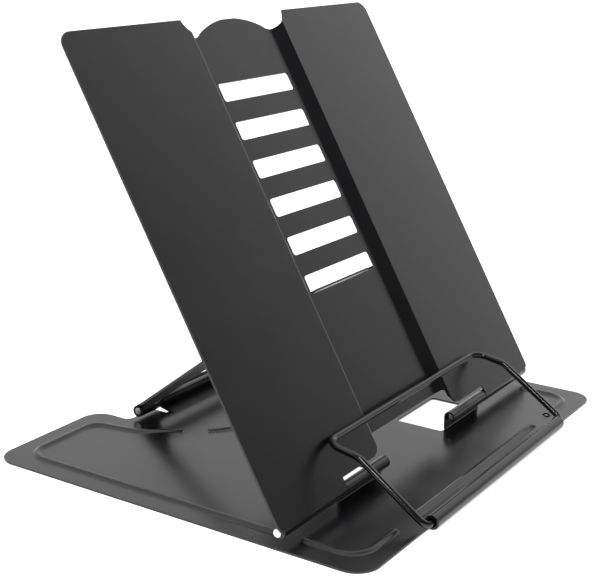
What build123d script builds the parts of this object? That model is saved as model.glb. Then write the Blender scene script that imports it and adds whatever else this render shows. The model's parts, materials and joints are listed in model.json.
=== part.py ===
"""Folding stand for a photo album, pressed from sheet steel, at its real size in millimetres.

+X is the stand's right, the front faces -Y and +Z is up. The origin is on the surface that
the base stands on, in the middle of the stand's width and depth.
"""

import os
from math import asin, atan2, cos, degrees, hypot, radians, sin, sqrt

from build123d import *

# Driving dimensions ---------------------------------------------------------------------

SHEET = 0.8  # thickness of every pressed piece
PANEL_WIDTH = 190.0
BASE_WIDTH = 188.0

# Panel hinge. Every "reach" is measured from its axis: front towards -Y, rear towards +Y.
PANEL_AXIS_Z = 6.2
PANEL_ANGLE = 60.5  # slope of the panel from the horizontal
PANEL_LENGTH = 176.0  # from the hinge axis to the top edge
BASE_FRONT_REACH = 33.3
BASE_REAR_REACH = 130.0
TUBE_REACH = 34.3  # axis of the tube rolled from the front edge

PIN_R = 1.5
RUNNING_GAP = 0.08
PRESSED_ROLL = PIN_R  # inner radius of a roll that grips its pin
RUNNING_ROLL = PIN_R + RUNNING_GAP  # inner radius of a roll that turns on its pin
PANEL_PIN_INNER = 26.6  # each pin starts inside its tab's roll
PANEL_PIN_OUTER = 94.2
PIN_CHAMFER = 0.3

# Back panel: two flat strips with a recessed channel between them.
STRIP_EDGE = 28.9  # half width where a strip starts to fold back
CHANNEL_EDGE = 24.6  # half width of the flat channel floor
CHANNEL_DEPTH = 3.5
FOLD_R = 1.2
PANEL_CORNER_R = 5.0
PANEL_FOOT_CORNER_R = 2.2
ARCH_RISE = 6.2
SCALLOP_HALF = 32.4
SCALLOP_LOW = 170.0
CURL_START = 54.3  # the curls run from here to the panel's sides
CURL_END = 93.0
OPENING_HALF = 28.6
OPENING_TOP = 11.0
SLIT_TOP = 3.9
SLIT_CORNER_R = 5.0
OPENING_CORNER_R = 2.0
ARCH_SHOULDER = (19.5, 1.6)  # (across, above the scallops' low point)
ARCH_FLANK = (10.2, 4.95)  # halfway round the arch, likewise
SCALLOP_MID = 26.5

SLOT_COUNT = 6
SLOT_WIDTH = 45.5
SLOT_HEIGHT = 7.2
SLOT_CORNER_R = 1.2
SLOT_PITCH = 15.53
LOWEST_SLOT = 69.8  # its centre, from the hinge axis

# Base plate.
BASE_CORNER_R = 9.0
WINDOW_INNER = 23.0
WINDOW_OUTER = 53.8
WINDOW_NEAR_REACH = 1.9  # both of its reaches are behind the hinge axis
WINDOW_REAR_REACH = 22.5
WINDOW_CORNER_R = 1.5
TAB_INNER = 25.4
TAB_OUTER = 53.8
TAB_FOOT_R = 1.2
NOTCH_HALF = 37.0
NOTCH_REACH = 112.6
NOTCH_CORNER_R = 8.0
NOTCH_ROOT_R = 3.0
TUBE_HALF = 53.0
TUBE_R = 2.6  # outside
TUBE_LIP_ANGLE = 40.0  # how far below its own centre the tube's free edge comes down

BEAD_HALF = 2.7
BEAD_RISE = 1.0
BEAD_TOE_SLOPE = 0.45
BEAD_INSET = 9.0  # from the sides of the base
BEAD_REAR_REACH = 121.5
BEAD_FRONT_REACH = 25.6
BEAD_CORNER_R = 9.0
FRONT_BEAD_HALF = 48.0
CORNER_BEAD_END = 62.0
CORNER_BEAD_START_REACH = 4.0
# Inner ends of the rear beads and the arch between them: (half width, reach).
REAR_BEAD_TURN = 48.0
REAR_BEAD_SLOPE = (44.5, 101.0)
REAR_BEAD_TIP = (34.5, 86.5)
REAR_BEAD_TURN_R = 6.0
REAR_BEAD_SLOPE_R = 20.0
ARCH_BEAD_TIP = (28.5, 78.5)
ARCH_BEAD_CREST = (20.5, 71.5)
ARCH_BEAD_R = 8.0

# Support plate behind the panel.
SUPPORT_REACH = 110.0
SUPPORT_AXIS_Z = 4.1
SUPPORT_HALF = 34.5
SHOULDER_R = 4.0
SHOULDER_GAP = 1.0  # the plate's shoulders stop this far behind the channel floor
FLANGE_END = 4.0  # how far the flanges' lower edge stops short of the shoulders
FLANGE_END_DEPTH = 1.4
FLANGE_DEPTH = 3.6
SUPPORT_OPENING = (10.0, 66.0)  # from the support's axis to the opening's two ends
SUPPORT_OPENING_HALF = 27.0
SUPPORT_OPENING_R = 5.0
FLANGE_START = 5.5
KNUCKLE_HALF = 21.0  # middle knuckle, rolled from the base
KNUCKLE_SIDE_GAP = 0.8
KNUCKLE_GAP_REACH = 105.0  # narrow gap in front of the notch that the middle knuckle was cut from
KNUCKLE_GAP_HALF = 22.5
KNUCKLE_FOOT = 3.0  # how far in front of that gap its ramp starts
SUPPORT_ROLL_CLEAR = 4.6  # how far the plate stays from the axis beside the middle knuckle
TONGUE_HALF = 19.0
TONGUE_BITE = 0.2  # how far the tongue reaches into its slot
TONGUE_LIFT = 0.45  # from the slot's lower edge to the tongue's underside
SUPPORT_PIN_HALF = 34.5

# Page holder: one bent wire.
WIRE_R = 1.25
HOLDER_HALF = 57.0
HOLDER_STUB = 30.0  # length of each end inside the tube
HOLDER_BEND = (26.6, 18.6)  # rise of each leg: (back, up) from the tube's axis
HOLDER_BAR = (39.3, 20.8)  # the bar: (back, up) from the tube's axis
FOOT_R = 3.2
BEND_R = 8.0
BAR_R = 5.5
WIRE_END_CHAMFER = 0.25
OVERLAP = 2.0  # how far a rolled or folded part starts inside the flat it grows from

# Derived places ------------------------------------------------------------------------

FRONT_REACH = TUBE_REACH + TUBE_R
HINGE_Y = (FRONT_REACH - BASE_REAR_REACH) / 2
REAR_Y = HINGE_Y + BASE_REAR_REACH
FRONT_Y = HINGE_Y - BASE_FRONT_REACH
TUBE_Y = HINGE_Y - TUBE_REACH
SUPPORT_Y = HINGE_Y + SUPPORT_REACH

STRIP_MID = RUNNING_ROLL + SHEET / 2  # the strips' mid-surface, in front of the hinge axis
FLOOR_MID = STRIP_MID - CHANNEL_DEPTH

lean_y = cos(radians(PANEL_ANGLE))
lean_z = sin(radians(PANEL_ANGLE))
hinge_point = (0, HINGE_Y, PANEL_AXIS_Z)
# Panel planes: face (X, up the panel), section (X, towards the reader), side (up, reader).
PANEL_FACE = Plane(hinge_point, x_dir=(1, 0, 0), z_dir=(0, -lean_z, lean_y))
PANEL_SECTION = Plane(hinge_point, x_dir=(1, 0, 0), z_dir=(0, -lean_y, -lean_z))
PANEL_SIDE = Plane(hinge_point, x_dir=(0, lean_y, lean_z), z_dir=(1, 0, 0))

# The support lies along the tangent from its own roll to the middle of its tongue's slot edge.
tongue_up = LOWEST_SLOT - SLOT_HEIGHT / 2 + TONGUE_LIFT + SHEET / 2
tongue_y = HINGE_Y + tongue_up * lean_y - FLOOR_MID * lean_z
tongue_z = PANEL_AXIS_Z + tongue_up * lean_z + FLOOR_MID * lean_y
tongue_far = hypot(SUPPORT_Y - tongue_y, tongue_z - SUPPORT_AXIS_Z)
SUPPORT_ANGLE = degrees(
    atan2(tongue_z - SUPPORT_AXIS_Z, SUPPORT_Y - tongue_y) - asin(STRIP_MID / tongue_far)
)
FLOOR_RUN = sqrt(tongue_far**2 - STRIP_MID**2)  # along the support to the channel floor
TONGUE_END = FLOOR_RUN - SHEET / 2 + TONGUE_BITE
SUPPORT_LENGTH = FLOOR_RUN - SHEET / 2 - SHOULDER_GAP

rise_y = cos(radians(SUPPORT_ANGLE))
rise_z = sin(radians(SUPPORT_ANGLE))
support_point = (0, SUPPORT_Y, SUPPORT_AXIS_Z)
# Support planes: face (across, up the plate) and side (up the plate, out of its top).
SUPPORT_FACE = Plane(support_point, x_dir=(-1, 0, 0), z_dir=(0, rise_z, rise_y))
SUPPORT_SIDE = Plane(support_point, x_dir=(0, -rise_y, rise_z), z_dir=(-1, 0, 0))


def pressed_profile(plane, *midline):
    """A sheet's profile on a plane, one thickness wide along its mid-line."""
    with BuildSketch(plane) as profile:
        trace(lines=list(midline), line_width=SHEET)
    return profile.sketch


def save(part, label):
    """Names a finished piece and writes its file."""
    part.label = label
    export_step(part, f"parts/{label}.step")


def mirrored(half_width):
    """Both signs of a half width."""
    return (-half_width, half_width)


# Base plate ----------------------------------------------------------------------------


def base_outline():
    """Floor of the base: rounded plate, rear notch with its middle tongue, two windows."""
    with BuildSketch() as outline:
        with Locations((0, (FRONT_Y + REAR_Y) / 2)):
            RectangleRounded(BASE_WIDTH, REAR_Y - FRONT_Y, BASE_CORNER_R)
        notch_depth = BASE_REAR_REACH - NOTCH_REACH
        with Locations((0, REAR_Y - notch_depth / 2)):
            Rectangle(2 * NOTCH_HALF, notch_depth, mode=Mode.SUBTRACT)
        ears = outline.vertices().filter_by(lambda v: abs(abs(v.X) - NOTCH_HALF) < 0.01)
        fillet(ears.group_by(Axis.Y)[-1], NOTCH_CORNER_R)
        roots = outline.vertices().filter_by(lambda v: abs(abs(v.X) - NOTCH_HALF) < 0.01)
        fillet(roots.group_by(Axis.Y)[0], NOTCH_ROOT_R)
        with Locations((0, HINGE_Y + (KNUCKLE_GAP_REACH + NOTCH_REACH) / 2)):
            Rectangle(2 * KNUCKLE_GAP_HALF, NOTCH_REACH - KNUCKLE_GAP_REACH, mode=Mode.SUBTRACT)
        window_mid_x = (WINDOW_INNER + WINDOW_OUTER) / 2
        window_mid_y = HINGE_Y + (WINDOW_REAR_REACH + WINDOW_NEAR_REACH) / 2
        window_depth = WINDOW_REAR_REACH - WINDOW_NEAR_REACH
        with Locations(*((x, window_mid_y) for x in mirrored(window_mid_x))):
            RectangleRounded(WINDOW_OUTER - WINDOW_INNER, window_depth, WINDOW_CORNER_R,
                             mode=Mode.SUBTRACT)
    return outline.sketch


def tube_profile():
    """Front edge rolled forwards, up and back into a tube, its free edge just off the floor."""
    mid_r = TUBE_R - SHEET / 2
    with BuildLine() as midline:
        Line((FRONT_Y + OVERLAP, SHEET / 2), (TUBE_Y, SHEET / 2))
        CenterArc((TUBE_Y, TUBE_R), mid_r, 270, -270 - TUBE_LIP_ANGLE)
    return pressed_profile(Plane.YZ.offset(-TUBE_HALF), midline.line)


def tab_profile():
    """Tab lanced from a window: it stands up behind the pin and rolls forwards over it."""
    mid_r = PRESSED_ROLL + SHEET / 2
    wall_y = HINGE_Y + mid_r
    with BuildLine() as midline:
        Line((wall_y - TAB_FOOT_R - OVERLAP, SHEET / 2), (wall_y - TAB_FOOT_R, SHEET / 2))
        JernArc((wall_y - TAB_FOOT_R, SHEET / 2), (1, 0), TAB_FOOT_R, 90)
        Line((wall_y, SHEET / 2 + TAB_FOOT_R), (wall_y, PANEL_AXIS_Z))
        CenterArc((HINGE_Y, PANEL_AXIS_Z), mid_r, 0, 290)
    return pressed_profile(Plane.YZ.offset(TAB_INNER), midline.line)


def knuckle_profile():
    """Tongue at the back of the floor: it ramps up and rolls round the support's pin."""
    mid_r = PRESSED_ROLL + SHEET / 2
    foot = Vector(HINGE_Y + KNUCKLE_GAP_REACH - KNUCKLE_FOOT, SHEET / 2)
    axis = Vector(SUPPORT_Y, SUPPORT_AXIS_Z)
    to_axis = axis - foot
    # The ramp is the tangent from the foot to the underside of the roll.
    ramp = degrees(atan2(to_axis.Y, to_axis.X) - asin(mid_r / to_axis.length))
    touch = axis + Vector(0, -mid_r).rotate(Axis.Z, ramp)
    with BuildLine() as midline:
        Line(foot - Vector(OVERLAP, 0), foot)
        Line(foot, touch)
        CenterArc(axis, mid_r, 270 + ramp, 290)
    return pressed_profile(Plane.YZ.offset(-KNUCKLE_HALF), midline.line)


def side_bead_routes(side):
    """Centre lines of the two beads on one side: round the rear corner, and the front one."""
    side_x = side * (BASE_WIDTH / 2 - BEAD_INSET)
    rear_y = HINGE_Y + BEAD_REAR_REACH
    front_y = HINGE_Y - BEAD_FRONT_REACH
    with BuildLine() as rear:
        FilletPolyline(
            (side_x, HINGE_Y + CORNER_BEAD_START_REACH),
            (side_x, rear_y),
            (side * REAR_BEAD_TURN, rear_y),
            (side * REAR_BEAD_SLOPE[0], HINGE_Y + REAR_BEAD_SLOPE[1]),
            (side * REAR_BEAD_TIP[0], HINGE_Y + REAR_BEAD_TIP[1]),
            radius=(BEAD_CORNER_R, REAR_BEAD_TURN_R, REAR_BEAD_SLOPE_R),
        )
    with BuildLine() as corner:
        FilletPolyline(
            (side_x, HINGE_Y - CORNER_BEAD_START_REACH),
            (side_x, front_y),
            (side * CORNER_BEAD_END, front_y),
            radius=BEAD_CORNER_R,
        )
    return [rear.line, corner.line]


def middle_bead_routes():
    """Centre lines of the arch in front of the folded support, and of the front bead."""
    front_y = HINGE_Y - BEAD_FRONT_REACH
    with BuildLine() as arch:
        FilletPolyline(
            (ARCH_BEAD_TIP[0], HINGE_Y + ARCH_BEAD_TIP[1]),
            (ARCH_BEAD_CREST[0], HINGE_Y + ARCH_BEAD_CREST[1]),
            (-ARCH_BEAD_CREST[0], HINGE_Y + ARCH_BEAD_CREST[1]),
            (-ARCH_BEAD_TIP[0], HINGE_Y + ARCH_BEAD_TIP[1]),
            radius=ARCH_BEAD_R,
        )
    with BuildLine() as front:
        Line((-FRONT_BEAD_HALF, front_y), (FRONT_BEAD_HALF, front_y))
    return [arch.line, front.line]


def bead_section(route, toe_z, crest_z):
    """Bell-shaped section across the start of a bead's route, from one toe to the other."""
    start = route @ 0
    tangent = route % 0
    plane = Plane(start, x_dir=(-tangent.Y, tangent.X, 0), z_dir=tangent)
    with BuildSketch(plane) as section:
        with BuildLine():
            Spline((-BEAD_HALF, toe_z), (0, crest_z), (BEAD_HALF, toe_z),
                   tangents=[(1, BEAD_TOE_SLOPE), (1, 0), (1, -BEAD_TOE_SLOPE)])
            Line((BEAD_HALF, toe_z), (-BEAD_HALF, toe_z))
        make_face()
    return section.sketch


def base_plate():
    """The whole base, cut, rolled and beaded from one sheet."""
    with BuildPart() as base:
        extrude(base_outline(), amount=SHEET)
        extrude(tube_profile(), amount=2 * TUBE_HALF)
        tab = tab_profile()
        for start_x in (TAB_INNER, -TAB_OUTER):
            extrude(tab.moved(Location((start_x - TAB_INNER, 0, 0))), amount=TAB_OUTER - TAB_INNER)
        extrude(knuckle_profile(), amount=2 * KNUCKLE_HALF)
        for route in side_bead_routes(1) + side_bead_routes(-1) + middle_bead_routes():
            sweep(bead_section(route, SHEET / 2, SHEET + BEAD_RISE), path=route)
            sweep(bead_section(route, -SHEET / 2, BEAD_RISE), path=route, mode=Mode.SUBTRACT)
    return base.part


# Back panel ----------------------------------------------------------------------------


def channel_profile():
    """Section across the panel: strip, fold, channel floor, fold, strip."""
    half = [(CHANNEL_EDGE, FLOOR_MID), (STRIP_EDGE, STRIP_MID), (PANEL_WIDTH / 2, STRIP_MID)]
    left = [(-x, n) for x, n in reversed(half)]
    with BuildLine() as midline:
        FilletPolyline(*left, *half, radius=FOLD_R)
    return pressed_profile(PANEL_SECTION, midline.line)


def curl_profile():
    """Lower edge of a strip, rolled back round the pin and up behind it."""
    with BuildLine() as midline:
        Line((OVERLAP, STRIP_MID), (0, STRIP_MID))
        CenterArc((0, 0), STRIP_MID, 90, 290)
    return pressed_profile(PANEL_SIDE.offset(CURL_START), midline.line)


def above_top():
    """What is cut from the panel's top: the air above the arch and its two scallops."""
    with BuildSketch(PANEL_FACE) as air:
        with BuildLine():
            for side in (1, -1):
                crest = (0, SCALLOP_LOW + ARCH_RISE)
                shoulder = (side * ARCH_SHOULDER[0], SCALLOP_LOW + ARCH_SHOULDER[1])
                flank = (side * ARCH_FLANK[0], SCALLOP_LOW + ARCH_FLANK[1])
                ThreePointArc(crest, flank, shoulder)
                ThreePointArc(shoulder, (side * SCALLOP_MID, SCALLOP_LOW),
                              (side * SCALLOP_HALF, PANEL_LENGTH))
            Polyline(
                (SCALLOP_HALF, PANEL_LENGTH),
                (SCALLOP_HALF, PANEL_LENGTH + 10),
                (-SCALLOP_HALF, PANEL_LENGTH + 10),
                (-SCALLOP_HALF, PANEL_LENGTH),
            )
        make_face()
        return air.sketch


def below_strips():
    """What is cut from the panel's foot: the middle opening and the slits over the tabs."""
    with BuildSketch(PANEL_FACE) as gap:
        with Locations((0, (SLIT_TOP - 10) / 2)):
            Rectangle(2 * CURL_START, SLIT_TOP + 10)
        with Locations((0, OPENING_TOP / 2)):
            Rectangle(2 * OPENING_HALF, OPENING_TOP)
        sides = gap.vertices().filter_by(lambda v: abs(abs(v.X) - OPENING_HALF) < 0.01)
        fillet(sides.sort_by(Axis.Y)[:2], SLIT_CORNER_R)
        sides = gap.vertices().filter_by(lambda v: abs(abs(v.X) - OPENING_HALF) < 0.01)
        fillet(sides.sort_by(Axis.Y)[-2:], OPENING_CORNER_R)
    return gap.sketch


def slots():
    """The row of slots that the support's tongue hooks into."""
    with BuildSketch(PANEL_FACE) as row:
        with Locations(*((0, LOWEST_SLOT + n * SLOT_PITCH) for n in range(SLOT_COUNT))):
            RectangleRounded(SLOT_WIDTH, SLOT_HEIGHT, SLOT_CORNER_R)
    return row.sketch


def outer_corners():
    """Blank that rounds the panel's four outer corners."""
    with BuildSketch(PANEL_FACE) as blank:
        with Locations((0, PANEL_LENGTH / 2)):
            Rectangle(PANEL_WIDTH, PANEL_LENGTH)
        fillet(blank.vertices().sort_by(Axis.Y)[-2:], PANEL_CORNER_R)
        fillet(blank.vertices().sort_by(Axis.Y)[:2], PANEL_FOOT_CORNER_R)
    return blank.sketch


def back_panel():
    """Slotted panel that the album leans on, hinged on its rolled lower edge."""
    through = 2 * CHANNEL_DEPTH
    curl_length = CURL_END - CURL_START
    with BuildPart() as panel:
        extrude(channel_profile(), amount=-(PANEL_LENGTH + 1))
        extrude(outer_corners(), amount=through, both=True, mode=Mode.INTERSECT)
        extrude(above_top(), amount=through, both=True, mode=Mode.SUBTRACT)
        extrude(below_strips(), amount=through, both=True, mode=Mode.SUBTRACT)
        extrude(slots(), amount=through, both=True, mode=Mode.SUBTRACT)
        curl = curl_profile()
        for start_x in (CURL_START, -CURL_END):
            extrude(curl.moved(Location((start_x - CURL_START, 0, 0))), amount=curl_length)
    return panel.part


def hinge_pin(start_x, end_x, axis_y, axis_z):
    """Steel pin along X, its ends lightly peened."""
    with BuildPart() as pin:
        with BuildSketch(Plane.YZ.offset(start_x)):
            with Locations((axis_y, axis_z)):
                Circle(PIN_R)
        extrude(amount=end_x - start_x)
        chamfer(pin.edges().filter_by(GeomType.CIRCLE), PIN_CHAMFER)
    return pin.part


# Support -------------------------------------------------------------------------------


def support_section():
    """Section across the support: a flat top with a flange bent down at each side."""
    top = RUNNING_ROLL + SHEET / 2
    edge = SUPPORT_HALF - SHEET / 2
    with BuildLine() as midline:
        FilletPolyline(
            (-edge, top + SHEET / 2 - FLANGE_DEPTH),
            (-edge, top),
            (edge, top),
            (edge, top + SHEET / 2 - FLANGE_DEPTH),
            radius=SHEET,
        )
    plane = Plane(support_point, x_dir=(-1, 0, 0), z_dir=(0, rise_y, -rise_z))
    return pressed_profile(plane, midline.line)


def support_roll():
    """Rear edge of the support, rolled down round its pin."""
    mid_r = RUNNING_ROLL + SHEET / 2
    with BuildLine() as midline:
        Line((OVERLAP, mid_r), (0, mid_r))
        CenterArc((0, 0), mid_r, 90, 290)
    return pressed_profile(SUPPORT_SIDE, midline.line)


def support_outline():
    """Flat outline of the support: shoulders, tongue, middle opening, and the knuckle's gap."""
    open_half = KNUCKLE_HALF + KNUCKLE_SIDE_GAP
    with BuildSketch(SUPPORT_FACE) as outline:
        with Locations((0, SUPPORT_LENGTH / 2)):
            Rectangle(2 * SUPPORT_HALF, SUPPORT_LENGTH)
        shoulders = outline.vertices().sort_by(Axis.Y)[-2:]
        fillet(shoulders, SHOULDER_R)
        with Locations((0, TONGUE_END / 2)):
            Rectangle(2 * TONGUE_HALF, TONGUE_END)
        Rectangle(2 * open_half, 2 * SUPPORT_ROLL_CLEAR, mode=Mode.SUBTRACT)
        opening_start, opening_end = SUPPORT_OPENING
        with Locations((0, (opening_start + opening_end) / 2)):
            RectangleRounded(2 * SUPPORT_OPENING_HALF, opening_end - opening_start,
                             SUPPORT_OPENING_R, mode=Mode.SUBTRACT)
    return outline.sketch


def flange_trim():
    """What is cut from the flanges: their rear end, and a rounded end under the tongue."""
    with BuildSketch(SUPPORT_SIDE) as trim:
        with BuildLine():
            Polyline(
                (-5, RUNNING_ROLL + 0.02),
                (FLANGE_START - 2, RUNNING_ROLL + 0.02),
                (FLANGE_START, -5),
                (-5, -5),
                close=True,
            )
        make_face()
        with BuildLine():
            Polyline(
                (SUPPORT_LENGTH - FLANGE_END, -5),
                (SUPPORT_LENGTH, FLANGE_END_DEPTH),
                (SUPPORT_LENGTH + 5, FLANGE_END_DEPTH),
                (SUPPORT_LENGTH + 5, -5),
                close=True,
            )
        make_face()
    return trim.sketch


def support_plate():
    """Open frame that props the panel: rolled round its pin behind, hooked in a slot in front."""
    side_length = SUPPORT_HALF - KNUCKLE_HALF - KNUCKLE_SIDE_GAP
    with BuildPart() as support:
        extrude(support_section(), amount=-TONGUE_END)
        extrude(support_outline(), amount=10, both=True, mode=Mode.INTERSECT)
        extrude(flange_trim(), amount=2 * SUPPORT_HALF, both=True, mode=Mode.SUBTRACT)
        roll = support_roll()
        for start_x in (-SUPPORT_HALF, SUPPORT_HALF - side_length):
            extrude(roll.moved(Location((start_x + side_length, 0, 0))), amount=side_length)
    return support.part


# Page holder ---------------------------------------------------------------------------


def holder_route():
    """Centre line of the wire: stub, leg, bend, bar and back down on the other side."""
    tube_z = TUBE_R
    bend = (TUBE_Y + HOLDER_BEND[0], tube_z + HOLDER_BEND[1])
    bar = (TUBE_Y + HOLDER_BAR[0], tube_z + HOLDER_BAR[1])
    half = [
        (HOLDER_HALF - HOLDER_STUB, TUBE_Y, tube_z),
        (HOLDER_HALF, TUBE_Y, tube_z),
        (HOLDER_HALF, *bend),
        (HOLDER_HALF, *bar),
    ]
    other_half = [(-x, y, z) for x, y, z in reversed(half)]
    with BuildLine() as route:
        FilletPolyline(*half, *other_half, radius=(FOOT_R, BEND_R, BAR_R, BAR_R, BEND_R, FOOT_R))
    return route.line


def page_holder():
    """Bent wire that holds the pages against the panel."""
    route = holder_route()
    with BuildPart() as holder:
        with BuildSketch(Plane(route @ 0, z_dir=route % 0)):
            Circle(WIRE_R)
        sweep(path=route)
        ends = holder.faces().filter_by(GeomType.PLANE)
        chamfer(ends.edges(), WIRE_END_CHAMFER)
    return holder.part


if __name__ == "__main__":
    os.makedirs("parts", exist_ok=True)
    save(base_plate(), "base_plate")
    save(back_panel(), "back_panel")
    panel_hinge = (HINGE_Y, PANEL_AXIS_Z)
    save(hinge_pin(-PANEL_PIN_OUTER, -PANEL_PIN_INNER, *panel_hinge), "left_hinge_pin")
    save(hinge_pin(PANEL_PIN_INNER, PANEL_PIN_OUTER, *panel_hinge), "right_hinge_pin")
    save(support_plate(), "support_plate")
    support_hinge = (SUPPORT_Y, SUPPORT_AXIS_Z)
    save(hinge_pin(-SUPPORT_PIN_HALF, SUPPORT_PIN_HALF, *support_hinge), "support_hinge_pin")
    save(page_holder(), "page_holder")
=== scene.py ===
"""Folding photo album stand: pressed sheet steel in black powder coat, on a pale studio floor.

Each sub-assembly is a class that builds its meshes and dresses them. Sizes are in metres,
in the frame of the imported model: +X is the stand's right, its front faces -Y, +Z is up.
"""

import json
import logging
from dataclasses import dataclass, field
from enum import Enum
from math import pi, radians, tan

import bpy
from mathutils import Matrix, Vector


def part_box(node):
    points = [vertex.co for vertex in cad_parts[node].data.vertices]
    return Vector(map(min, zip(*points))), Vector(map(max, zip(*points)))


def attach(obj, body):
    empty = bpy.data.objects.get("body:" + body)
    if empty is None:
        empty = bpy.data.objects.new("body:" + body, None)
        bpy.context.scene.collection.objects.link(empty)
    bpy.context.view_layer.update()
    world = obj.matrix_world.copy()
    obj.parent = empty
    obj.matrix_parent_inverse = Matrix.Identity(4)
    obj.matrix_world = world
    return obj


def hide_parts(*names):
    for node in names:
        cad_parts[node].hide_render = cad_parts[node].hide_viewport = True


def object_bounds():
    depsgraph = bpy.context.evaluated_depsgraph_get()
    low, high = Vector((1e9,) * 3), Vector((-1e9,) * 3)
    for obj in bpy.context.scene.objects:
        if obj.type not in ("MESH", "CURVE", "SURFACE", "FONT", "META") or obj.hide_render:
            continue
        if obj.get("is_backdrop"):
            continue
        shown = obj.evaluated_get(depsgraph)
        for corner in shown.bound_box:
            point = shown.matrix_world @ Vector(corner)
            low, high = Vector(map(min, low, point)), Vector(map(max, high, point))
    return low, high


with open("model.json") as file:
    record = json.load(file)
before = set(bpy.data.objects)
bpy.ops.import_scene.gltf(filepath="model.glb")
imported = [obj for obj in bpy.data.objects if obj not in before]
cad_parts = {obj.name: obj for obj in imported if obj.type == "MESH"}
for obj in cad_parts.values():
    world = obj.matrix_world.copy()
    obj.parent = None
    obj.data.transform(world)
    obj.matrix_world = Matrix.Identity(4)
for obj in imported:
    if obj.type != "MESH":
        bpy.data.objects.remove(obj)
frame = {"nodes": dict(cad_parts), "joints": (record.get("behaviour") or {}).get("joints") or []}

logging.basicConfig(level=logging.INFO, format="%(message)s")
log = logging.getLogger("album_stand")

MM = 0.001
COAT_IOR = 1.5
SHEET_WELD_GAP = 2e-6
WIRE_WELD_GAP = 1e-6
FLAT_TURN = radians(0.6)  # faces that turn less than this are one flat
SHARP_TURN = radians(40)  # edges of the sheets that turn more than this are softened
SMOOTH_TURN = radians(38)
END_TURN = radians(60)  # edges at the ends of round bars turn more than this
ROUND_TURN = radians(40)
BEND_STEP = radians(7.5)
FEWEST_BEND_STEPS = 6


class Body(Enum):
    """Moving bodies of the stand."""

    BASE = "base"
    PANEL = "panel"
    SUPPORT = "support"
    HOLDER = "holder"


class Slot(Enum):
    """Material slots of the record."""

    COAT = "black_powder_coat"
    WIRE = "black_wire"
    STEEL = "bright_steel"


# Shader effects ------------------------------------------------------------------------


def start_group(
    name: str, inputs: dict[str, float], outputs: dict[str, str]
) -> tuple[bpy.types.NodeTree, bpy.types.Node, bpy.types.Node]:
    """Starts a shader node group with its sockets.

    Args:
        name: Name of the group.
        inputs: Input names with their default values, all floats.
        outputs: Output names with their socket types.

    Returns:
        The group, its input node and its output node.
    """
    group = bpy.data.node_groups.new(name, "ShaderNodeTree")
    for label, value in inputs.items():
        socket = group.interface.new_socket(label, in_out="INPUT", socket_type="NodeSocketFloat")
        socket.default_value = value
    for label, kind in outputs.items():
        group.interface.new_socket(label, in_out="OUTPUT", socket_type=kind)
    return group, group.nodes.new("NodeGroupInput"), group.nodes.new("NodeGroupOutput")


def add_noise(
    group: bpy.types.NodeTree, scale: float, detail: float, roughness: float
) -> bpy.types.Node:
    """Adds a noise texture that reads the piece's own coordinates.

    Args:
        group: Node tree to add to.
        scale: Waves to a metre.
        detail: Octaves of finer noise.
        roughness: Strength of the finer octaves.

    Returns:
        The noise node.
    """
    place = group.nodes.new("ShaderNodeTexCoord")
    noise = group.nodes.new("ShaderNodeTexNoise")
    noise.inputs["Scale"].default_value = scale
    noise.inputs["Detail"].default_value = detail
    noise.inputs["Roughness"].default_value = roughness
    group.links.new(place.outputs["Object"], noise.inputs["Vector"])
    return noise


def add_math(
    tree: bpy.types.NodeTree,
    operation: str,
    first: bpy.types.NodeSocket,
    second: bpy.types.NodeSocket | float,
    clamp: bool = False,
) -> bpy.types.NodeSocket:
    """Adds a math node.

    Args:
        tree: Node tree to add to.
        operation: Blender's name of the operation.
        first: Socket of the first operand.
        second: Socket or number of the second operand.
        clamp: Whether the result is kept from 0 to 1.

    Returns:
        The result's socket.
    """
    node = tree.nodes.new("ShaderNodeMath")
    node.operation = operation
    node.use_clamp = clamp
    tree.links.new(first, node.inputs[0])
    if isinstance(second, float):
        node.inputs[1].default_value = second
    else:
        tree.links.new(second, node.inputs[1])
    return node.outputs[0]


def add_range(
    tree: bpy.types.NodeTree,
    value: bpy.types.NodeSocket,
    source: tuple[float, float],
    target: tuple[float, float],
) -> bpy.types.NodeSocket:
    """Adds a map range node.

    Args:
        tree: Node tree to add to.
        value: Socket of the value to map.
        source: The range it comes in.
        target: The range it goes out in.

    Returns:
        The result's socket.
    """
    node = tree.nodes.new("ShaderNodeMapRange")
    tree.links.new(value, node.inputs["Value"])
    for label, number in zip(("From Min", "From Max", "To Min", "To Max"), source + target):
        node.inputs[label].default_value = number
    return node.outputs["Result"]


def orange_peel_group() -> bpy.types.NodeTree:
    """The gentle waviness of a sprayed and baked coat, with its fine specks.

    Returns:
        Group with input Specks and outputs Height and Mottle.
    """
    group, entry, out = start_group(
        "Orange peel", {"Specks": 0.3}, {"Height": "NodeSocketFloat", "Mottle": "NodeSocketFloat"}
    )
    peel = add_noise(group, 950.0, 1.0, 0.4)
    specks = add_noise(group, 4200.0, 2.0, 0.6)
    blotches = add_noise(group, 38.0, 3.0, 0.55)
    fine = add_math(group, "MULTIPLY", specks.outputs[0], entry.outputs["Specks"])
    group.links.new(add_math(group, "ADD", peel.outputs[0], fine), out.inputs["Height"])
    mottle = add_range(group, blotches.outputs[0], (0.3, 0.7), (0.0, 1.0))
    group.links.new(mottle, out.inputs["Mottle"])
    return group


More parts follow.
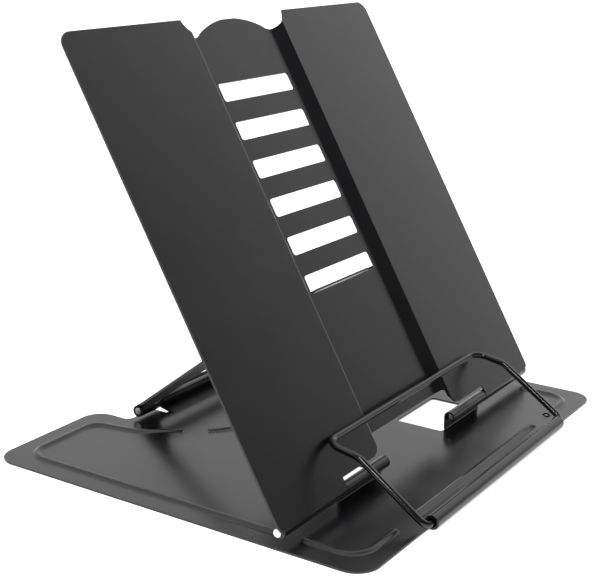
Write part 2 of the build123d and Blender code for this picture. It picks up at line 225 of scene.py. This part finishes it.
def edge_wear_group() -> bpy.types.NodeTree:
    """Where handling has thinned and polished a finish: broken traces along its edges.

    Returns:
        Group with inputs Reach (metres) and Breakup, and output Mask.
    """
    group, entry, out = start_group(
        "Edge wear", {"Reach": 0.0005, "Breakup": 0.5}, {"Mask": "NodeSocketFloat"}
    )
    rounded = group.nodes.new("ShaderNodeBevel")
    rounded.samples = 6
    group.links.new(entry.outputs["Reach"], rounded.inputs["Radius"])
    surface = group.nodes.new("ShaderNodeNewGeometry")
    turn = group.nodes.new("ShaderNodeVectorMath")
    turn.operation = "DOT_PRODUCT"
    group.links.new(rounded.outputs["Normal"], turn.inputs[0])
    group.links.new(surface.outputs["Normal"], turn.inputs[1])
    edge = add_range(group, turn.outputs["Value"], (0.99, 0.75), (0.0, 1.0))
    patches = add_noise(group, 260.0, 4.0, 0.65)
    broken = add_range(group, patches.outputs[0], (0.35, 0.65), (0.0, 1.0))
    share = add_math(group, "MULTIPLY", broken, entry.outputs["Breakup"])
    keep = add_math(group, "SUBTRACT", edge, share, clamp=True)
    group.links.new(keep, out.inputs["Mask"])
    return group


def handling_group() -> bpy.types.NodeTree:
    """Faint smears and dust that change how glossy a surface is from place to place.

    Returns:
        Group with outputs Smear and Dust.
    """
    group, _, out = start_group(
        "Handling", {}, {"Smear": "NodeSocketFloat", "Dust": "NodeSocketFloat"}
    )
    place = group.nodes.new("ShaderNodeTexCoord")
    stretch = group.nodes.new("ShaderNodeMapping")
    stretch.inputs["Scale"].default_value = (1.0, 0.45, 1.0)
    stretch.inputs["Rotation"].default_value = (0.0, 0.0, 0.5)
    smear = group.nodes.new("ShaderNodeTexNoise")
    smear.inputs["Scale"].default_value = 55.0
    smear.inputs["Detail"].default_value = 4.0
    smear.inputs["Distortion"].default_value = 0.3
    group.links.new(place.outputs["Object"], stretch.inputs["Vector"])
    group.links.new(stretch.outputs["Vector"], smear.inputs["Vector"])
    dust = add_noise(group, 1500.0, 5.0, 0.75)
    smeared = add_range(group, smear.outputs[0], (0.35, 0.7), (0.0, 1.0))
    group.links.new(smeared, out.inputs["Smear"])
    group.links.new(add_range(group, dust.outputs[0], (0.64, 0.74), (0.0, 1.0)), out.inputs["Dust"])
    return group


@dataclass
class Effects:
    """The shader groups that the finishes share, each built once."""

    orange_peel: bpy.types.NodeTree = field(default_factory=orange_peel_group)
    edge_wear: bpy.types.NodeTree = field(default_factory=edge_wear_group)
    handling: bpy.types.NodeTree = field(default_factory=handling_group)


# Finishes ------------------------------------------------------------------------------


def place_group(
    tree: bpy.types.NodeTree, group: bpy.types.NodeTree, **values: float
) -> bpy.types.Node:
    """Places a shared group in a material.

    Args:
        tree: The material's node tree.
        group: The shared group.
        **values: Values of the group's inputs, with underscores for spaces.

    Returns:
        The group's node.
    """
    node = tree.nodes.new("ShaderNodeGroup")
    node.node_tree = group
    for label, value in values.items():
        node.inputs[label.replace("_", " ")].default_value = value
    return node


def mix_colours(
    tree: bpy.types.NodeTree,
    share: bpy.types.NodeSocket,
    first: tuple[float, float, float] | bpy.types.NodeSocket,
    second: tuple[float, float, float],
) -> bpy.types.NodeSocket:
    """Mixes two colours by a mask.

    Args:
        tree: Node tree to add to.
        share: Mask from 0 for the first colour to 1 for the second.
        first: A colour or a socket that gives one.
        second: A colour.

    Returns:
        Socket of the mixed colour.
    """
    node = tree.nodes.new("ShaderNodeMix")
    node.data_type = "RGBA"
    tree.links.new(share, node.inputs["Factor"])
    if isinstance(first, tuple):
        node.inputs[6].default_value = (*first, 1.0)
    else:
        tree.links.new(first, node.inputs[6])
    node.inputs[7].default_value = (*second, 1.0)
    return node.outputs[2]


def add_bump(
    tree: bpy.types.NodeTree, height: bpy.types.NodeSocket, depth: float, strength: float
) -> bpy.types.NodeSocket:
    """Adds a bump from a height.

    Args:
        tree: Node tree to add to.
        height: Socket of the height, from 0 to about 1.
        depth: Depth of a height of 1, in metres.
        strength: Share of the bump's effect.

    Returns:
        Socket of the bumped normal.
    """
    bump = tree.nodes.new("ShaderNodeBump")
    bump.inputs["Distance"].default_value = depth
    bump.inputs["Strength"].default_value = strength
    tree.links.new(height, bump.inputs["Height"])
    return bump.outputs["Normal"]


@dataclass(frozen=True)
class PowderCoat:
    """Satin black powder coat over sheet steel."""

    name: str = "black_powder_coat"
    charcoal: tuple[float, float, float] = (0.0036, 0.0039, 0.0048)
    pale_charcoal: tuple[float, float, float] = (0.0052, 0.0055, 0.0065)
    rubbed: tuple[float, float, float] = (0.03, 0.03, 0.029)
    gloss_low: float = 0.26
    gloss_high: float = 0.21
    peel_depth: float = 0.000007
    wear_reach: float = 0.0004
    dust_dulling: float = 0.04

    def material(self, effects: Effects) -> bpy.types.Material:
        """Builds the material.

        Args:
            effects: The shared shader groups.

        Returns:
            The material.
        """
        coat = bpy.data.materials.new(self.name)
        coat.use_nodes = True
        tree = coat.node_tree
        shader = tree.nodes["Principled BSDF"]
        shader.inputs["IOR"].default_value = COAT_IOR
        peel = place_group(tree, effects.orange_peel, Specks=0.25)
        wear = place_group(tree, effects.edge_wear, Reach=self.wear_reach, Breakup=0.75)
        handling = place_group(tree, effects.handling)
        body = mix_colours(tree, peel.outputs["Mottle"], self.charcoal, self.pale_charcoal)
        worn = mix_colours(tree, wear.outputs["Mask"], body, self.rubbed)
        tree.links.new(worn, shader.inputs["Base Color"])
        gloss = add_range(
            tree, handling.outputs["Smear"], (0.0, 1.0), (self.gloss_low, self.gloss_high)
        )
        dusty = add_math(tree, "MULTIPLY", handling.outputs["Dust"], self.dust_dulling)
        tree.links.new(add_math(tree, "ADD", gloss, dusty), shader.inputs["Roughness"])
        tree.links.new(
            add_bump(tree, peel.outputs["Height"], self.peel_depth, 1.0), shader.inputs["Normal"]
        )
        return coat


@dataclass(frozen=True)
class GlossWire:
    """Glossy black dipped coat on the round wire."""

    name: str = "black_wire"
    black: tuple[float, float, float] = (0.003, 0.003, 0.0034)
    rubbed: tuple[float, float, float] = (0.008, 0.008, 0.008)
    gloss: tuple[float, float] = (0.08, 0.13)
    ripple_depth: float = 0.000006

    def material(self, effects: Effects) -> bpy.types.Material:
        """Builds the material.

        Args:
            effects: The shared shader groups.

        Returns:
            The material.
        """
        coat = bpy.data.materials.new(self.name)
        coat.use_nodes = True
        tree = coat.node_tree
        shader = tree.nodes["Principled BSDF"]
        shader.inputs["IOR"].default_value = COAT_IOR
        peel = place_group(tree, effects.orange_peel, Specks=0.1)
        handling = place_group(tree, effects.handling)
        body = mix_colours(tree, handling.outputs["Smear"], self.black, self.rubbed)
        tree.links.new(body, shader.inputs["Base Color"])
        gloss = add_range(tree, peel.outputs["Mottle"], (0.0, 1.0), self.gloss)
        tree.links.new(gloss, shader.inputs["Roughness"])
        tree.links.new(
            add_bump(tree, peel.outputs["Height"], self.ripple_depth, 1.0), shader.inputs["Normal"]
        )
        return coat


@dataclass(frozen=True)
class BrightSteel:
    """Bare bright steel of the hinge pins, with a fine noise bump and duller smeared patches."""

    name: str = "bright_steel"
    steel: tuple[float, float, float] = (0.72, 0.72, 0.70)
    dull: tuple[float, float, float] = (0.42, 0.41, 0.39)
    gloss: tuple[float, float] = (0.22, 0.42)
    mark_depth: float = 0.00001

    def material(self, effects: Effects) -> bpy.types.Material:
        """Builds the material.

        Args:
            effects: The shared shader groups.

        Returns:
            The material.
        """
        metal = bpy.data.materials.new(self.name)
        metal.use_nodes = True
        tree = metal.node_tree
        shader = tree.nodes["Principled BSDF"]
        shader.inputs["Metallic"].default_value = 1.0
        peel = place_group(tree, effects.orange_peel, Specks=0.8)
        handling = place_group(tree, effects.handling)
        body = mix_colours(tree, handling.outputs["Smear"], self.steel, self.dull)
        tree.links.new(body, shader.inputs["Base Color"])
        gloss = add_range(tree, peel.outputs["Mottle"], (0.0, 1.0), self.gloss)
        tree.links.new(gloss, shader.inputs["Roughness"])
        tree.links.new(
            add_bump(tree, peel.outputs["Height"], self.mark_depth, 1.0), shader.inputs["Normal"]
        )
        return metal


@dataclass(frozen=True)
class PaleFloor:
    """Seamless pale studio floor, lit from below as a light table is."""

    name: str = "pale_floor"
    white: tuple[float, float, float] = (0.93, 0.93, 0.93)
    off_white: tuple[float, float, float] = (0.90, 0.90, 0.90)
    glow: float = 0.8

    def material(self, effects: Effects) -> bpy.types.Material:
        """Builds the material.

        Args:
            effects: The shared shader groups.

        Returns:
            The material.
        """
        paper = bpy.data.materials.new(self.name)
        paper.use_nodes = True
        tree = paper.node_tree
        shader = tree.nodes["Principled BSDF"]
        shader.inputs["Roughness"].default_value = 0.85
        shader.inputs["Specular IOR Level"].default_value = 0.2
        shader.inputs["Emission Color"].default_value = (1.0, 1.0, 1.0, 1.0)
        shader.inputs["Emission Strength"].default_value = self.glow
        handling = place_group(tree, effects.handling)
        body = mix_colours(tree, handling.outputs["Dust"], self.white, self.off_white)
        tree.links.new(body, shader.inputs["Base Color"])
        return paper


@dataclass
class Finishes:
    """Every finish of the stand, built once."""

    effects: Effects = field(default_factory=Effects)
    made: dict[Slot, bpy.types.Material] = field(default_factory=dict)

    def __post_init__(self) -> None:
        """Builds the three materials of the stand."""
        self.made[Slot.COAT] = PowderCoat().material(self.effects)
        self.made[Slot.WIRE] = GlossWire().material(self.effects)
        self.made[Slot.STEEL] = BrightSteel().material(self.effects)

    def dress(self, piece: bpy.types.Object, slot: Slot) -> None:
        """Gives a piece the finish of its slot.

        Args:
            piece: The finished piece.
            slot: Its material slot.
        """
        piece.data.materials.clear()
        piece.data.materials.append(self.made[slot])


# Bench work ----------------------------------------------------------------------------


def take_only(piece: bpy.types.Object) -> None:
    """Selects one object and nothing else."""
    bpy.ops.object.select_all(action="DESELECT")
    piece.select_set(True)
    bpy.context.view_layer.objects.active = piece


def apply_modifier(piece: bpy.types.Object, kind: str, **settings: object) -> None:
    """Adds a modifier and applies it.

    Args:
        piece: The object to change.
        kind: Blender's name of the modifier type.
        **settings: The modifier's settings.
    """
    take_only(piece)
    modifier = piece.modifiers.new(kind.lower(), kind)
    for label, value in settings.items():
        setattr(modifier, label, value)
    bpy.ops.object.modifier_apply(modifier=modifier.name)


def blank_from(node: str, name: str) -> bpy.types.Object:
    """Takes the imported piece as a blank, its loose triangles merged and its flats made whole.

    Args:
        node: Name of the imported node.
        name: Name of the new piece.

    Returns:
        The new piece.
    """
    piece = bpy.data.objects.new(name, frame["nodes"][node].data.copy())
    bpy.context.scene.collection.objects.link(piece)
    take_only(piece)
    if piece.data.has_custom_normals:
        bpy.ops.mesh.customdata_custom_splitnormals_clear()
    bpy.ops.object.mode_set(mode="EDIT")
    bpy.ops.mesh.select_all(action="SELECT")
    bpy.ops.mesh.remove_doubles(threshold=SHEET_WELD_GAP)
    bpy.ops.mesh.dissolve_limited(angle_limit=FLAT_TURN)
    bpy.ops.object.mode_set(mode="OBJECT")
    return piece


def break_edges(piece: bpy.types.Object, width: float) -> None:
    """Softens the cut edges of a pressed piece and keeps its flats flat.

    Args:
        piece: The piece to soften.
        width: Width of the softened edge.
    """
    apply_modifier(
        piece,
        "BEVEL",
        width=width,
        segments=2,
        limit_method="ANGLE",
        angle_limit=SHARP_TURN,
        use_clamp_overlap=True,
        miter_outer="MITER_ARC",
    )
    take_only(piece)
    bpy.ops.object.shade_smooth_by_angle(angle=SMOOTH_TURN)
    apply_modifier(piece, "WEIGHTED_NORMAL", keep_sharp=True, weight=60)


def hand_over(piece: bpy.types.Object, body: Body, *nodes: str) -> None:
    """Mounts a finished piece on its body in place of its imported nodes.

    Args:
        piece: The finished piece.
        body: The body it moves with.
        *nodes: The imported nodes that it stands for.
    """
    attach(piece, body.value)
    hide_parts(*nodes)
    log.info("%s: %d faces, on %s", piece.name, len(piece.data.polygons), body.value)


# Sub-assemblies ------------------------------------------------------------------------


@dataclass
class BasePlate:
    """Floor plate with its rolled tube, lanced tabs, rear knuckle and stiffening beads."""

    finishes: Finishes
    edge_width: float = 0.00012

    def build(self) -> None:
        """Builds and dresses the plate."""
        plate = blank_from("base_plate", "base_plate_pressed")
        break_edges(plate, self.edge_width)
        self.finishes.dress(plate, Slot.COAT)
        hand_over(plate, Body.BASE, "base_plate")


@dataclass
class BackPanel:
    """Slotted panel with its recessed channel and curled hinge edge."""

    finishes: Finishes
    edge_width: float = 0.00016

    def build(self) -> None:
        """Builds and dresses the panel."""
        panel = blank_from("back_panel", "back_panel_pressed")
        break_edges(panel, self.edge_width)
        self.finishes.dress(panel, Slot.COAT)
        hand_over(panel, Body.PANEL, "back_panel")


@dataclass
class SupportPlate:
    """Flanged plate that props the panel from behind."""

    finishes: Finishes
    edge_width: float = 0.00014

    def build(self) -> None:
        """Builds and dresses the support."""
        support = blank_from("support_plate", "support_plate_pressed")
        break_edges(support, self.edge_width)
        self.finishes.dress(support, Slot.COAT)
        hand_over(support, Body.SUPPORT, "support_plate")


@dataclass
class PageHolder:
    """The bent wire that holds the pages: one ring drawn along its route and spun at each bend."""

    finishes: Finishes
    wire_radius: float = 1.25 * MM
    half_width: float = 57.0 * MM
    stub: float = 30.0 * MM
    leg_top: tuple[float, float] = (26.6 * MM, 18.6 * MM)
    bar: tuple[float, float] = (39.3 * MM, 20.8 * MM)
    bend_radii: tuple[float, ...] = (3.2 * MM, 8.0 * MM, 5.5 * MM, 5.5 * MM, 8.0 * MM, 3.2 * MM)
    sides: int = 32
    end_chamfer: float = 0.25 * MM

    def corners(self) -> list[Vector]:
        """The route's corners from the right stub's end to the left one's.

        Returns:
            Eight points, with the tube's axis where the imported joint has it.
        """
        swing = next(joint for joint in frame["joints"] if joint["child"] == Body.HOLDER.value)
        axis = Vector(swing["pos_m"])
        half = [
            Vector((self.half_width - self.stub, axis.y, axis.z)),
            Vector((self.half_width, axis.y, axis.z)),
            Vector((self.half_width, axis.y + self.leg_top[0], axis.z + self.leg_top[1])),
            Vector((self.half_width, axis.y + self.bar[0], axis.z + self.bar[1])),
        ]
        return half + [Vector((-p.x, p.y, p.z)) for p in reversed(half)]

    def draw_straight(self, move: Vector) -> None:
        """Draws the selected ring straight along by a move."""
        bpy.ops.mesh.extrude_region_move(TRANSFORM_OT_translate={"value": move})

    def draw_bend(self, start: Vector, before: Vector, after: Vector, radius: float) -> None:
        """Spins the selected ring round one bend.

        Args:
            start: Where the bend starts on the centre line.
            before: Direction of the run before it.
            after: Direction of the run after it.
            radius: Radius of the centre line.
        """
        turn = before.angle(after)
        axis = before.cross(after).normalized()
        centre = start + axis.cross(before) * radius
        steps = max(FEWEST_BEND_STEPS, round(turn / BEND_STEP))
        bpy.ops.mesh.spin(steps=steps, angle=-turn, center=centre, axis=axis)

    def build(self) -> None:
        """Builds and dresses the wire."""
        route = self.corners()
        bpy.ops.object.select_all(action="DESELECT")
        bpy.ops.mesh.primitive_circle_add(
            vertices=self.sides, radius=self.wire_radius, location=route[0],
            rotation=(0.0, pi / 2, 0.0),
        )
        wire = bpy.context.object
        wire.name = "page_holder_bent"
        bpy.ops.object.transform_apply(location=True, rotation=True, scale=True)
        bpy.ops.object.mode_set(mode="EDIT")
        bpy.ops.mesh.select_all(action="SELECT")
        here = route[0]
        for index, radius in enumerate(self.bend_radii, start=1):
            before = (route[index] - route[index - 1]).normalized()
            after = (route[index + 1] - route[index]).normalized()
            setback = radius * tan(before.angle(after) / 2)
            start = route[index] - before * setback
            self.draw_straight(start - here)
            self.draw_bend(start, before, after, radius)
            here = route[index] + after * setback
        self.draw_straight(route[-1] - here)
        bpy.ops.mesh.select_all(action="SELECT")
        bpy.ops.mesh.remove_doubles(threshold=WIRE_WELD_GAP)
        bpy.ops.mesh.select_all(action="DESELECT")
        bpy.ops.mesh.select_non_manifold()
        bpy.ops.mesh.edge_face_add()
        bpy.ops.mesh.select_all(action="SELECT")
        bpy.ops.mesh.normals_make_consistent(inside=False)
        bpy.ops.object.mode_set(mode="OBJECT")
        apply_modifier(
            wire, "BEVEL", width=self.end_chamfer, segments=3, limit_method="ANGLE",
            angle_limit=END_TURN,
        )
        take_only(wire)
        bpy.ops.object.shade_smooth_by_angle(angle=ROUND_TURN)
        self.finishes.dress(wire, Slot.WIRE)
        hand_over(wire, Body.HOLDER, "page_holder")


@dataclass
class HingePins:
    """The bright steel pins: two for the panel, one for the support."""

    finishes: Finishes
    sides: int = 48
    chamfer: float = 0.0003

    def build(self) -> None:
        """Builds and dresses every pin."""
        for node in sorted(name for name in frame["nodes"] if name.endswith("hinge_pin")):
            low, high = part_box(node)
            bpy.ops.object.select_all(action="DESELECT")
            bpy.ops.mesh.primitive_cylinder_add(
                vertices=self.sides,
                radius=(high.z - low.z) / 2,
                depth=high.x - low.x,
                location=(low + high) / 2,
                rotation=(0.0, pi / 2, 0.0),
            )
            pin = bpy.context.object
            pin.name = f"{node}_peened"
            bpy.ops.object.transform_apply(location=True, rotation=True, scale=True)
            apply_modifier(
                pin, "BEVEL", width=self.chamfer, segments=4, limit_method="ANGLE",
                angle_limit=END_TURN,
            )
            take_only(pin)
            bpy.ops.object.shade_smooth_by_angle(angle=ROUND_TURN)
            self.finishes.dress(pin, Slot.STEEL)
            hand_over(pin, Body.BASE, node)


# Studio --------------------------------------------------------------------------------


@dataclass
class SoftLight:
    """One large soft box, aimed at a point."""

    name: str
    place: Vector
    target: Vector
    size: tuple[float, float]
    watts: float

    def build(self) -> None:
        """Adds the light."""
        bpy.ops.object.light_add(type="AREA", location=self.place)
        light = bpy.context.object
        light.name = self.name
        light.data.shape = "RECTANGLE"
        light.data.size, light.data.size_y = self.size
        light.data.energy = self.watts
        aim = self.target - self.place
        light.rotation_euler = aim.to_track_quat("-Z", "Y").to_euler()


@dataclass
class Studio:
    """Pale floor, white surroundings, soft light and the camera."""

    finishes: Finishes
    lens: float = 77.6
    eye: Vector = field(default_factory=lambda: Vector((-398.62, -259.18, 195.85)) * MM)
    forward: Vector = field(default_factory=lambda: Vector((0.7963, 0.5366, -0.2794)))
    bright_side: tuple[float, float, float] = (0.447, 0.894, 0.0)
    sky: tuple[tuple[float, float], ...] = (
        (-0.4, 0.12), (-0.15, 0.46), (0.0, 1.02), (0.12, 1.42), (0.4, 1.25), (0.85, 1.1),
    )

    def build(self) -> None:
        """Builds the whole studio."""
        self.lay_floor()
        self.set_surroundings()
        self.hang_lights()
        self.stand_camera()

    def lay_floor(self) -> None:
        """Lays a broad floor under the stand."""
        low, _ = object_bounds()
        bpy.ops.object.select_all(action="DESELECT")
        bpy.ops.mesh.primitive_plane_add(size=30.0, location=(0.0, 0.0, low.z))
        floor = bpy.context.object
        floor.name = "studio_floor"
        floor.data.materials.append(PaleFloor().material(self.finishes.effects))
        floor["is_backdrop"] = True

    def set_surroundings(self) -> None:
        """Sets the white light all round, dimmer on the side where the camera stands."""
        world = bpy.data.worlds.new("white_surroundings")
        bpy.context.scene.world = world
        world.use_nodes = True
        background = world.node_tree.nodes["Background"]
        background.inputs["Color"].default_value = (1.0, 1.0, 1.0, 1.0)
        way = world.node_tree.nodes.new("ShaderNodeTexCoord")
        side = world.node_tree.nodes.new("ShaderNodeVectorMath")
        side.operation = "DOT_PRODUCT"
        side.inputs[1].default_value = self.bright_side
        world.node_tree.links.new(way.outputs["Generated"], side.inputs[0])
        share = add_range(world.node_tree, side.outputs["Value"], (-1.0, 1.0), (0.0, 1.0))
        ramp = world.node_tree.nodes.new("ShaderNodeValToRGB")
        brightest = max(light for _, light in self.sky)
        while len(ramp.color_ramp.elements) < len(self.sky):
            ramp.color_ramp.elements.new(1.0)
        for stop, (turn, light) in zip(ramp.color_ramp.elements, self.sky):
            stop.position = (turn + 1) / 2
            stop.color = (light / brightest,) * 3 + (1.0,)
        world.node_tree.links.new(share, ramp.inputs["Fac"])
        world.node_tree.links.new(
            add_math(world.node_tree, "MULTIPLY", ramp.outputs["Color"], brightest),
            background.inputs["Strength"],
        )

    def hang_lights(self) -> None:
        """Hangs the soft boxes round the stand."""
        middle = Vector((0.0, 0.0, 0.06))
        SoftLight("strip", Vector((-0.62, -0.3, 0.78)), middle, (0.07, 0.45), 3.2).build()
        SoftLight("overhead", Vector((0.1, 0.0, 1.2)), middle, (0.5, 0.5), 0.2).build()

    def stand_camera(self) -> None:
        """Stands the camera at its place with its own axes."""
        bpy.ops.object.camera_add()
        camera = bpy.context.object
        right = self.forward.cross(Vector((0.0, 0.0, 1.0))).normalized()
        up = right.cross(self.forward).normalized()
        axes = Matrix((right, up, -self.forward.normalized())).transposed()
        camera.matrix_world = Matrix.Translation(self.eye) @ axes.to_4x4()
        camera.data.sensor_width = 36.0
        camera.data.lens = self.lens
        camera.data.clip_start = 0.01
        camera.data.clip_end = 100.0
        bpy.context.scene.camera = camera
        bpy.context.scene.view_settings.view_transform = "Standard"


def main() -> None:
    """Builds the stand and its studio."""
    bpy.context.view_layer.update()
    finishes = Finishes()
    BasePlate(finishes).build()
    BackPanel(finishes).build()
    SupportPlate(finishes).build()
    PageHolder(finishes).build()
    HingePins(finishes).build()
    Studio(finishes).build()


if __name__ == "__main__":
    main()
